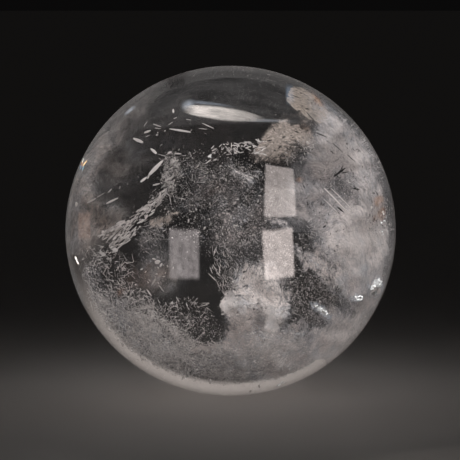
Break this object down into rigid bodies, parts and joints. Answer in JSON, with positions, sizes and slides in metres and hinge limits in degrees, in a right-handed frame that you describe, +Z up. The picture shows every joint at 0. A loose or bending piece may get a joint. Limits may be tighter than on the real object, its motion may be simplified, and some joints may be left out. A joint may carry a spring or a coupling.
{
  "type": "quartz sphere",
  "caption": "Polished ball of clear rock crystal with milky veils and flakes inside, standing on a small flat ground into its underside.",
  "frame": {"origin": "centre of the flat on the underside, on the surface that the ball stands on", "axes": "+Z up through the ball's centre, -Y towards the viewer of the picture, +X to that viewer's right"},
  "size_m": [0.07, 0.07, 0.0696],
  "materials": {
    "rock_crystal": "mirror polished, clear, with white veils inside"
  },
  "bodies": {
    "root": {"quartz_sphere": "rock_crystal"}
  },
  "joints": []
}
